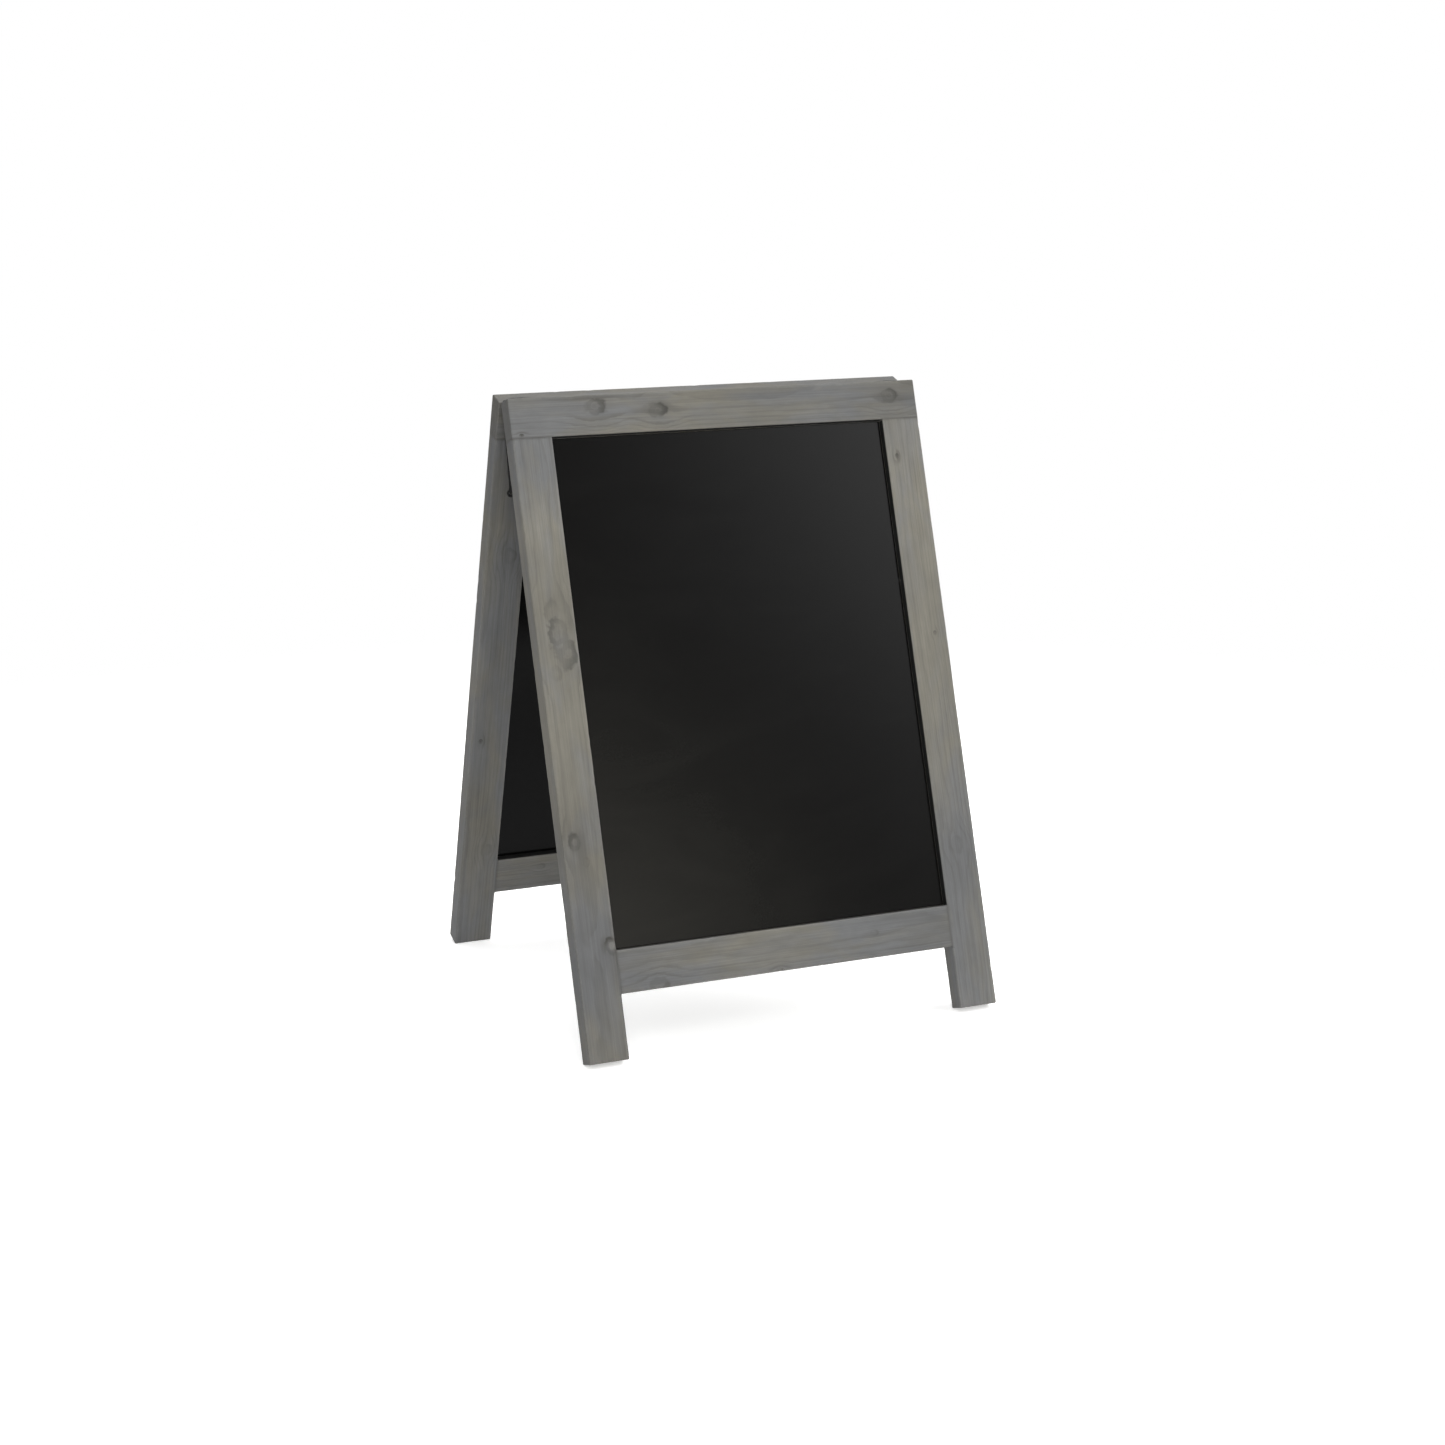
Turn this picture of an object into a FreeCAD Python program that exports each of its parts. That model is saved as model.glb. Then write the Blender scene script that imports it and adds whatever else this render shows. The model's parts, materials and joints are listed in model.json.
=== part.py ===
import FreeCAD, Part
import math
import os

# Sandwich board: two equal timber frames with chalkboard panels, hinged along the top.
# Origin: on the ground, in the middle of the feet. +X is to the right, -Y is the front, +Z is up.
# It stands open, resting against the stops in its hinges.

# Frame
boardWidth = 550.0
frameLength = 806.0
timberThickness = 25.0
stileWidth = 51.5
topRailWidth = 50.0
bottomRailWidth = 53.0
footLength = 78.0
arrisRadius = 1.5
halfAngle = 18.1  # lean of each frame from upright, degrees

# Chalkboard panel
panelThickness = 9.0
tongueThickness = 4.0
tongueSideClearance = 0.1
tongueEndClearance = 0.8
grooveDepth = 8.0
shadowGap = 1.2  # thin dark line between the frame and the raised field
fieldEasing = 0.5

# Dowels in the corner joints
dowelRadius = 4.0
dowelLength = 50.0
dowelChamfer = 1.0
dowelClearance = 0.05
dowelEndClearance = 0.5
dowelPitch = 20.0
bottomDowelEdgeDistance = 12.0  # from the lower edge of the bottom rail to the nearer dowel

# Strap hinges
pinRadius = 2.2
pinClearance = 0.05
pinHeadRadius = 3.4
pinHeadHeight = 1.4
pinHeadGap = 0.1
leafThickness = 1.8
barrelSeat = 0.3  # from the barrel to the timber behind it
barrelLength = 40.0
middleKnuckleLength = 16.0
knuckleGap = 0.3
knuckleReliefGap = 0.4
strapShoulder = 8.0
strapNeckDistance = 115.0
strapNeckHalfWidth = 3.0
strapTipDistance = 123.6
strapTipRadius = 5.2

# Opening stop, in lugs on top of the barrel
stopLugHeight = 2.0
stopLugThickness = 2.4
stopLugOverlap = 4.0
stopLugFoot = 5.5
stopGap = 0.1

# Hinge screws
screwHeadRadius = 3.4
screwHeadHeight = 1.6
screwShankRadius = 1.75
screwLength = 18.0
screwPointLength = 4.0
screwPointRadius = 0.3
screwClearance = 0.08
recessLength = 3.8
recessWidth = 0.8
recessDepth = 1.1
screwPairHalfPitch = 10.5
screwPairDistance = 19.0
strapScrewDistances = (68.0, 97.0, strapTipDistance)

# Worked out from the sizes above
knuckleRadius = pinRadius + pinClearance + leafThickness
pinToTimber = knuckleRadius + barrelSeat
lean = math.radians(halfAngle)
# The rounded inner edge of each foot is what touches the ground.
pinHeight = ((frameLength - arrisRadius) * math.cos(lean)
             - (pinToTimber + arrisRadius) * math.sin(lean) + arrisRadius)
openingHalfWidth = boardWidth / 2 - stileWidth
bottomRailTop = frameLength - footLength - bottomRailWidth
stileCentre = boardWidth / 2 - stileWidth / 2
grooveThickness = tongueThickness + 2 * tongueSideClearance

samePlace = 0.001
cutMargin = 1.0  # how far a cutting tool passes the face that it opens

origin = FreeCAD.Vector(0, 0, 0)
xAxis = FreeCAD.Vector(1, 0, 0)
yAxis = FreeCAD.Vector(0, 1, 0)
zAxis = FreeCAD.Vector(0, 0, 1)


# Each frame is drawn lying flat: x across, y up the frame from its top edge (so downwards is
# negative), z outwards from the inner face. Hinge pieces are drawn about the pin in the same way.

def box(xLow, xHigh, yLow, yHigh, zLow, zHigh):
    corner = FreeCAD.Vector(xLow, yLow, zLow)
    return Part.makeBox(xHigh - xLow, yHigh - yLow, zHigh - zLow, corner)


def cutAll(solid, tools):
    for tool in tools:
        solid = solid.cut(tool)
    return solid


def dowel(centre, direction):
    start = centre - direction * (dowelLength / 2)
    end = centre + direction * (dowelLength / 2)
    body = Part.makeCylinder(dowelRadius, dowelLength - 2 * dowelChamfer,
                             start + direction * dowelChamfer, direction)
    endRadius = dowelRadius - dowelChamfer
    nose = Part.makeCone(endRadius, dowelRadius, dowelChamfer, start, direction)
    tail = Part.makeCone(endRadius, dowelRadius, dowelChamfer, end, direction * -1)
    return body.fuse(nose).fuse(tail).removeSplitter()


def dowelHole(centre, direction):
    length = dowelLength + 2 * dowelEndClearance
    start = centre - direction * (length / 2)
    return Part.makeCylinder(dowelRadius + dowelClearance, length, start, direction)


def topDowelCentres(side):
    return [FreeCAD.Vector(side * stileCentre + offset, -topRailWidth, timberThickness / 2)
            for offset in (-dowelPitch / 2, dowelPitch / 2)]


def bottomDowelCentres(side):
    lowest = bottomRailTop + bottomRailWidth - bottomDowelEdgeDistance
    return [FreeCAD.Vector(side * openingHalfWidth, -(lowest - step * dowelPitch), timberThickness / 2)
            for step in (0, 1)]


def topDowelHoles(side):
    return [dowelHole(centre, yAxis) for centre in topDowelCentres(side)]


def bottomDowelHoles(side):
    return [dowelHole(centre, xAxis) for centre in bottomDowelCentres(side)]


def panelGroove():
    reach = openingHalfWidth + grooveDepth
    middle = timberThickness / 2
    return box(-reach, reach, -(bottomRailTop + grooveDepth), -(topRailWidth - grooveDepth),
               middle - grooveThickness / 2, middle + grooveThickness / 2)


def stileSpace(side):
    inner = side * openingHalfWidth
    outer = side * boardWidth / 2
    return box(min(inner, outer), max(inner, outer), -frameLength, -topRailWidth, 0, timberThickness)


def topRailSpace():
    return box(-boardWidth / 2, boardWidth / 2, -topRailWidth, 0, 0, timberThickness)


def bottomRailSpace():
    return box(-openingHalfWidth, openingHalfWidth, -(bottomRailTop + bottomRailWidth),
               -bottomRailTop, 0, timberThickness)


def isArris(edge):
    # every edge along a face of the frame, and the corners through its thickness at the four ends
    limits = edge.BoundBox
    if limits.ZLength < samePlace:
        return True
    return abs(limits.YMin + frameLength) < samePlace or abs(limits.YMax) < samePlace


def easedFrame():
    # the four timbers glued up flush, with their bare arrises rounded afterwards
    solid = topRailSpace().fuse([stileSpace(-1), stileSpace(1), bottomRailSpace()]).removeSplitter()
    return solid.makeFillet(arrisRadius, [edge for edge in solid.Edges if isArris(edge)])


def stile(frame, side):
    tools = [panelGroove()]
    tools += topDowelHoles(side)
    tools += bottomDowelHoles(side)
    tools += pilotHoles(side)
    return cutAll(frame.common(stileSpace(side)), tools)


def topRail(frame):
    tools = [panelGroove()]
    for side in (-1, 1):
        tools += topDowelHoles(side)
        tools += pilotHoles(side)
    return cutAll(frame.common(topRailSpace()), tools)


def bottomRail(frame):
    tools = [panelGroove()]
    for side in (-1, 1):
        tools += bottomDowelHoles(side)
    return cutAll(frame.common(bottomRailSpace()), tools)


def chalkboard():
    # raised field on both faces, and a thin tongue all round that sits in the groove
    middle = timberThickness / 2
    tongueReach = grooveDepth - tongueEndClearance
    halfField = openingHalfWidth - shadowGap
    field = box(-halfField, halfField, -(bottomRailTop - shadowGap), -(topRailWidth + shadowGap),
                middle - panelThickness / 2, middle + panelThickness / 2)
    field = field.makeFillet(fieldEasing, field.Edges)
    tongue = box(-(openingHalfWidth + tongueReach), openingHalfWidth + tongueReach,
                 -(bottomRailTop + tongueReach), -(topRailWidth - tongueReach),
                 middle - tongueThickness / 2, middle + tongueThickness / 2)
    return field.fuse(tongue).removeSplitter()


def screwPlaces():
    # across and along the strap, from the pin
    pair = [(-screwPairHalfPitch, screwPairDistance), (screwPairHalfPitch, screwPairDistance)]
    return pair + [(0, distance) for distance in strapScrewDistances]


def screwBody(clearance):
    # head flush with the leaf's free face, point in the timber
    top = pinToTimber - leafThickness
    neck = top + screwHeadHeight
    end = top + screwLength
    pointStart = end - screwPointLength
    shank = screwShankRadius + clearance
    head = Part.makeCone(screwHeadRadius + clearance, shank, screwHeadHeight,
                         FreeCAD.Vector(0, 0, top), zAxis)
    body = Part.makeCylinder(shank, pointStart - neck + clearance, FreeCAD.Vector(0, 0, neck), zAxis)
    point = Part.makeCone(shank, screwPointRadius + clearance, screwPointLength,
                          FreeCAD.Vector(0, 0, pointStart + clearance), zAxis)
    return head.fuse(body).fuse(point)


def screw():
    top = pinToTimber - leafThickness
    solid = screwBody(0)
    for turn in (0, 90):
        slot = box(-recessLength / 2, recessLength / 2, -recessWidth / 2, recessWidth / 2,
                   top - cutMargin, top + recessDepth)
        slot.rotate(origin, zAxis, turn)
        solid = solid.cut(slot)
    return solid


def atScrewPlaces(solid):
    placed = []
    for across, along in screwPlaces():
        copy = solid.copy()
        copy.translate(FreeCAD.Vector(across, -along, 0))
        placed.append(copy)
    return placed


def pilotHoles(side):
    # screw holes in the flat-drawn frame, whose inner face is pinToTimber away from the pin
    holes = atScrewPlaces(screwBody(screwClearance))
    for hole in holes:
        hole.translate(FreeCAD.Vector(side * stileCentre, 0, -pinToTimber))
    return holes


def strapPlate():
    half = barrelLength / 2
    points = [(-half, 0), (-half, -strapShoulder), (-strapNeckHalfWidth, -strapNeckDistance),
              (-strapNeckHalfWidth, -strapTipDistance), (strapNeckHalfWidth, -strapTipDistance),
              (strapNeckHalfWidth, -strapNeckDistance), (half, -strapShoulder), (half, 0)]
    low = pinToTimber - leafThickness
    corners = [FreeCAD.Vector(x, y, low) for x, y in points + points[:1]]
    plate = Part.Face(Part.makePolygon(corners)).extrude(zAxis * leafThickness)
    tip = Part.makeCylinder(strapTipRadius, leafThickness,
                            FreeCAD.Vector(0, -strapTipDistance, low), zAxis)
    return plate.fuse(tip).removeSplitter()


def knuckle(xLow, xHigh):
    return Part.makeCylinder(knuckleRadius, xHigh - xLow, FreeCAD.Vector(xLow, 0, 0), xAxis)


def knuckleRelief(xLow, xHigh):
    # room in a leaf for the other leaf's knuckle
    reach = knuckleRadius + knuckleReliefGap
    return box(xLow - knuckleGap, xHigh + knuckleGap, -reach, reach, -reach, pinToTimber + cutMargin)


def stopLug(xLow, xHigh, overlap):
    # a lug on top of the barrel when the board stands open; its face meets the other leaf's lug
    # overlap is how far it reaches over the other leaf's knuckle, below xLow
    face = -stopGap / 2
    back = face - stopLugThickness
    top = knuckleRadius + stopLugHeight
    lug = box(xLow, xHigh, back, face, pinRadius + pinClearance, top)
    if overlap:
        reach = box(xLow - overlap, xHigh, back, face, knuckleRadius + knuckleGap, top)
        lug = lug.fuse(reach).removeSplitter()
    # drawn as it stands open, with z upwards from the pin, then turned into the flat drawing
    lug.rotate(origin, xAxis, halfAngle - 90)
    return lug


def mirrorAcross(solid):
    return solid.mirror(origin, xAxis)


def outerLeaf():
    half = barrelLength / 2
    middle = middleKnuckleLength / 2
    solid = strapPlate()
    for barrel in (knuckle(-half, -middle - knuckleGap), knuckle(middle + knuckleGap, half)):
        solid = solid.fuse(barrel)
    solid = solid.cut(knuckleRelief(-middle, middle))
    lug = stopLug(middle + knuckleGap, middle + knuckleGap + stopLugFoot,
                  stopLugOverlap + knuckleGap)
    solid = solid.fuse(lug).fuse(mirrorAcross(lug))
    return finishLeaf(solid)


def middleLeaf():
    half = barrelLength / 2
    middle = middleKnuckleLength / 2
    solid = strapPlate().fuse(knuckle(-middle, middle))
    for xLow, xHigh in ((-half, -middle), (middle, half)):
        solid = solid.cut(knuckleRelief(xLow, xHigh))
    solid = solid.fuse(stopLug(-middle + knuckleGap, middle - knuckleGap, 0))
    return finishLeaf(solid)


def finishLeaf(solid):
    reach = barrelLength
    bore = Part.makeCylinder(pinRadius + pinClearance, 2 * reach, FreeCAD.Vector(-reach, 0, 0), xAxis)
    return cutAll(solid, [bore] + atScrewPlaces(screwBody(screwClearance))).removeSplitter()


def hingePin():
    half = barrelLength / 2 + pinHeadGap
    solid = Part.makeCylinder(pinRadius, 2 * half, FreeCAD.Vector(-half, 0, 0), xAxis)
    domeRise = pinHeadHeight / 2
    for side in (-1, 1):
        direction = xAxis * side
        rim = Part.makeCylinder(pinHeadRadius, domeRise, direction * half, direction)
        crown = Part.makeCone(pinHeadRadius, pinHeadRadius / 2, domeRise,
                              direction * (half + domeRise), direction)
        solid = solid.fuse(rim).fuse(crown)
    return solid.removeSplitter()


def stand(solid, isRear, across, outwards):
    # from the flat drawing to its place in the standing board; outwards is measured from the pin
    placed = solid.copy()
    placed.translate(FreeCAD.Vector(0, 0, outwards))
    placed.rotate(origin, xAxis, 90 - halfAngle)
    if isRear:
        placed.rotate(origin, zAxis, 180)
    placed.translate(FreeCAD.Vector(across, 0, pinHeight))
    return placed


def write(name, solids):
    shape = solids[0] if len(solids) == 1 else Part.makeCompound(solids)
    shape.exportStep("parts/" + name + ".step")


def writeFrame(frameName, isRear):
    # seen from the front, the rear frame is turned about, so its left stile is the other one
    leftSide = 1 if isRear else -1
    frame = easedFrame()
    pieces = {
        "left_stile": [stile(frame, leftSide)],
        "right_stile": [stile(frame, -leftSide)],
        "top_rail": [topRail(frame)],
        "bottom_rail": [bottomRail(frame)],
        "chalkboard": [chalkboard()],
        "top_dowels": [dowel(centre, yAxis) for side in (-1, 1) for centre in topDowelCentres(side)],
        "bottom_dowels": [dowel(centre, xAxis) for side in (-1, 1) for centre in bottomDowelCentres(side)],
    }
    for name, solids in pieces.items():
        write(frameName + "_" + name, [stand(solid, isRear, 0, pinToTimber) for solid in solids])


def writeHinge(hingeName, side):
    across = side * stileCentre
    write(hingeName + "_front_leaf", [stand(outerLeaf(), False, across, 0)])
    write(hingeName + "_rear_leaf", [stand(middleLeaf(), True, across, 0)])
    write(hingeName + "_pin", [stand(hingePin(), False, across, 0)])
    for frameName, isRear in (("front", False), ("rear", True)):
        screws = [stand(solid, isRear, across, 0) for solid in atScrewPlaces(screw())]
        write(hingeName + "_" + frameName + "_screws", screws)


os.makedirs("parts", exist_ok=True)
writeFrame("front", False)
writeFrame("rear", True)
writeHinge("left_hinge", -1)
writeHinge("right_hinge", 1)
print("pin height", round(pinHeight, 3), "pin to timber", round(pinToTimber, 3))
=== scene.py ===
import bpy
import bmesh
import json
import math
import random
from mathutils import Matrix, Vector, noise


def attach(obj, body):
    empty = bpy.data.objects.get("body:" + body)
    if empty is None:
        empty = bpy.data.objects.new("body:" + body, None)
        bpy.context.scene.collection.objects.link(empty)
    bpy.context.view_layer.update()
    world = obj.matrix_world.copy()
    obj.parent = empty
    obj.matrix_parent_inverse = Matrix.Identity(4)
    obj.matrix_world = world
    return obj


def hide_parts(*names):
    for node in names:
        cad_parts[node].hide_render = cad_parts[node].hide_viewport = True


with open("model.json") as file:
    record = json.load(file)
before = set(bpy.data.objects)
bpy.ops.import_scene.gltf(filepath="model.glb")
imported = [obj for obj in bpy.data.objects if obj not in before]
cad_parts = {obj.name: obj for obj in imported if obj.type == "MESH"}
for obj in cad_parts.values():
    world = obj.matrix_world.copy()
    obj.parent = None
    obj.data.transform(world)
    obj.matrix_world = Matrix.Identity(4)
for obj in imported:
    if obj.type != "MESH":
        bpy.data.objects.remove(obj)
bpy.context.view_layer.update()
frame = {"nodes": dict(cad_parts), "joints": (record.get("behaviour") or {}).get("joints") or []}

# The hinge pins' line, and how far each frame leans back from upright.
foldJoint = frame["joints"][0]
pinPlace = Vector(foldJoint["pos_m"])
lean = math.radians(foldJoint["range_deg"][1]) / 2
mergeGap = 0.000002
print("frame loaded:", len(frame["nodes"]), "nodes")


# Each frame is drawn flat, with x across it, y up it from the pin and z outwards,
# and these take it to where it stands and back.

def standingTurn(isRear):
    return (math.pi / 2 - lean, 0.0, math.pi if isRear else 0.0)


def standing(isRear):
    tilt = Matrix.Rotation(standingTurn(isRear)[0], 4, "X")
    about = Matrix.Rotation(standingTurn(isRear)[2], 4, "Z")
    return Matrix.Translation(pinPlace) @ about @ tilt


def cornersOf(places):
    # the lowest and the highest corner of their box
    return [Vector([pick(p[i] for p in places) for i in range(3)]) for pick in (min, max)]


def flatBox(nodeName, isRear):
    back = standing(isRear).inverted()
    return cornersOf([back @ corner.co for corner in frame["nodes"][nodeName].data.vertices])


def smooth(low, high, value):
    share = min(max((value - low) / (high - low), 0.0), 1.0)
    return share * share * (3 - 2 * share)


# Short forms for the nodes of a material.

def feed(tree, socket, value):
    if isinstance(value, bpy.types.NodeSocket):
        tree.links.new(value, socket)
    else:
        socket.default_value = value


def addNode(tree, kind, values=None, **settings):
    made = tree.nodes.new(kind)
    for name, value in settings.items():
        setattr(made, name, value)
    for name, value in (values or {}).items():
        feed(tree, made.inputs[name], value)
    return made


def firstOf(tree, kind, values=None, **settings):
    return addNode(tree, kind, values, **settings).outputs[0]


def calc(tree, operation, first, second=0.0, clamp=False):
    values = {0: first, 1: second}
    return firstOf(tree, "ShaderNodeMath", values, operation=operation, use_clamp=clamp)


def times(tree, first, second, clamp=False):
    return calc(tree, "MULTIPLY", first, second, clamp)


def plus(tree, first, second, clamp=False):
    return calc(tree, "ADD", first, second, clamp)


def minus(tree, first, second):
    return calc(tree, "SUBTRACT", first, second)


def separate(tree, vector):
    return addNode(tree, "ShaderNodeSeparateXYZ", {0: vector}).outputs


def combine(tree, x=0.0, y=0.0, z=0.0):
    return firstOf(tree, "ShaderNodeCombineXYZ", {0: x, 1: y, 2: z})


def measured(tree, operation, first, second=(0.0, 0.0, 0.0)):
    # a length or a dot product
    values = {0: first, 1: second}
    return addNode(tree, "ShaderNodeVectorMath", values, operation=operation).outputs["Value"]


def vectorCalc(tree, operation, first, second):
    values = {0: first, 1: second}
    return firstOf(tree, "ShaderNodeVectorMath", values, operation=operation)


def spread(tree, value, low, high, toLow=0.0, toHigh=1.0, kind="SMOOTHSTEP"):
    values = {"Value": value, "From Min": low, "From Max": high, "To Min": toLow, "To Max": toHigh}
    return firstOf(tree, "ShaderNodeMapRange", values, interpolation_type=kind)


def grit(tree, vector, scale, detail=3.0, roughness=0.55, distortion=0.0):
    values = {"Vector": vector, "Scale": scale, "Detail": detail, "Roughness": roughness,
              "Distortion": distortion}
    return firstOf(tree, "ShaderNodeTexNoise", values)


def stretched(tree, vector, along, across):
    return vectorCalc(tree, "MULTIPLY", vector, (along, across, across))


def blendColour(tree, share, first, second):
    made = addNode(tree, "ShaderNodeMix", {0: share}, data_type="RGBA")
    for index, value in ((6, first), (7, second)):
        feed(tree, made.inputs[index], (*value, 1.0) if isinstance(value, tuple) else value)
    return made.outputs[2]


def shaded(tree, colour, shade):
    return vectorCalc(tree, "MULTIPLY", colour, combine(tree, shade, shade, shade))


def newMaterial(name):
    made = bpy.data.materials.new(name)
    made.use_nodes = True
    tree = made.node_tree
    tree.nodes.clear()
    shader = tree.nodes.new("ShaderNodeBsdfPrincipled")
    output = tree.nodes.new("ShaderNodeOutputMaterial")
    tree.links.new(shader.outputs[0], output.inputs["Surface"])
    return made, tree, shader


def dress(tree, shader, colour, finish, relief, specular):
    for name, value in (("Base Color", colour), ("Roughness", finish), ("Normal", relief),
                        ("Specular IOR Level", specular)):
        feed(tree, shader.inputs[name], value)


def bump(tree, height, strength, distance, under=None):
    values = {"Height": height, "Strength": strength, "Distance": distance}
    if under:
        values["Normal"] = under
    return firstOf(tree, "ShaderNodeBump", values)


def attribute(tree, name):
    return addNode(tree, "ShaderNodeAttribute", attribute_name=name).outputs["Fac"]


def objectCoords(tree):
    return addNode(tree, "ShaderNodeTexCoord").outputs["Object"]


def flatCoords(tree, isRear):
    values = {"Vector": objectCoords(tree), "Location": tuple(pinPlace),
              "Rotation": standingTurn(isRear)}
    return firstOf(tree, "ShaderNodeMapping", values, vector_type="TEXTURE")


# Timber finish: softwood under a thin grey wash, with knots and paler worn arrises.

woodTones = {
    "cool": (0.0965, 0.0985, 0.1015),
    "warm": (0.1085, 0.103, 0.087),
    "late": (0.052, 0.050, 0.045),
    "knot": (0.029, 0.028, 0.025),
    "worn": (0.165, 0.161, 0.149),
    "seam": (0.036, 0.034, 0.030),
    "edgePaint": (0.006, 0.006, 0.006),
    "roughness": 0.74,
    "specular": 0.35,
    "ringSpacing": 0.0036,
}


def knotGroup():
    # one knot: a dark rim heavier on one side, a core, a halo, rings, and how far it
    # pushes the grain aside
    tree = bpy.data.node_groups.new("knot", "ShaderNodeTree")
    for name in ("Place", "Centre", "Side", "Radius", "Strength", "Core", "Wobble"):
        kind = "Vector" if name in ("Place", "Centre", "Side") else "Float"
        tree.interface.new_socket(name, in_out="INPUT", socket_type="NodeSocket" + kind)
    for name in ("Dark", "Light", "Halo", "Push", "Rings"):
        tree.interface.new_socket(name, in_out="OUTPUT", socket_type="NodeSocketFloat")
    start = tree.nodes.new("NodeGroupInput").outputs
    end = tree.nodes.new("NodeGroupOutput").inputs
    offset = vectorCalc(tree, "SUBTRACT", start["Place"], start["Centre"])
    parts = separate(tree, offset)
    along = times(tree, parts[0], 0.72)
    flat = combine(tree, along, parts[1])
    length = measured(tree, "LENGTH", flat)
    wobble = times(tree, start["Wobble"], times(tree, start["Radius"], 85.0, clamp=True))
    reach = plus(tree, calc(tree, "DIVIDE", length, start["Radius"]), wobble)
    facing = measured(tree, "DOT_PRODUCT", flat, start["Side"])
    facing = spread(tree, calc(tree, "DIVIDE", facing, start["Radius"]), -0.35, 0.65, 0.38, 1.0)
    rim = times(tree, spread(tree, reach, 0.10, 0.80), spread(tree, reach, 0.88, 1.22, 1.0, 0.0))
    core = spread(tree, reach, 0.25, 0.80, 1.0, 0.0)
    darkCore = times(tree, core, calc(tree, "MAXIMUM", start["Core"], 0.0))
    dark = calc(tree, "MAXIMUM", times(tree, rim, facing), darkCore)
    light = times(tree, core, calc(tree, "MAXIMUM", times(tree, start["Core"], -1.0), 0.0))
    halo = spread(tree, reach, 0.5, 4.2, 1.0, 0.0)
    push = times(tree, times(tree, parts[1], halo), -0.82)
    inside = spread(tree, reach, 0.82, 1.08, 1.0, 0.0)
    rings = times(tree, calc(tree, "SINE", times(tree, reach, 15.0)), inside)
    for name, value in (("Dark", dark), ("Halo", halo), ("Rings", rings)):
        tree.links.new(times(tree, value, start["Strength"]), end[name])
    tree.links.new(light, end["Light"])
    tree.links.new(push, end["Push"])
    return tree


knotTree = knotGroup()


def knotParts(tree, place, wood, knots):
    # the knots of one timber added up: dark, light, halo, push and rings
    wobble = times(tree, minus(tree, grit(tree, wood, 170.0), 0.5), 0.6)
    sway = times(tree, minus(tree, grit(tree, wood, 62.0, 2.0), 0.5), 1.5)
    wobble = plus(tree, wobble, sway)
    depth = separate(tree, place)[2]
    totals = {"Dark": 0.0, "Light": 0.0, "Halo": 0.0, "Push": 0.0, "Rings": 0.0}
    for along, across, radius, strength, core, side in knots:
        values = {"Place": place, "Wobble": wobble, "Centre": combine(tree, along, across, depth),
                  "Radius": radius, "Strength": strength, "Core": core, "Side": (*side, 0.0)}
        knot = addNode(tree, "ShaderNodeGroup", values, node_tree=knotTree)
        for name in totals:
            operation = "ADD" if name in ("Push", "Rings") else "MAXIMUM"
            totals[name] = calc(tree, operation, totals[name], knot.outputs[name])
    return totals


def toneRamp(tree, along, tones):
    # how warm and how bright the wash is along one timber
    tones = sorted(tones)
    first, last = tones[0][0], tones[-1][0]
    share = spread(tree, along, first, last, kind="LINEAR")
    ramp = addNode(tree, "ShaderNodeValToRGB", {0: share})
    stops = ramp.color_ramp.elements
    while len(stops) < len(tones):
        stops.new(0.5)
    for index, (place, warm, bright) in enumerate(tones):
        stops[index].position = index / (len(tones) - 1)
    for index, (place, warm, bright) in enumerate(tones):
        stops[index].position = (place - first) / (last - first)
        stops[index].color = (warm, bright / 2, 0.0, 1.0)
    parts = addNode(tree, "ShaderNodeSeparateColor", {0: ramp.outputs[0]}).outputs
    return parts[0], times(tree, parts[1], 2.0)


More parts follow.
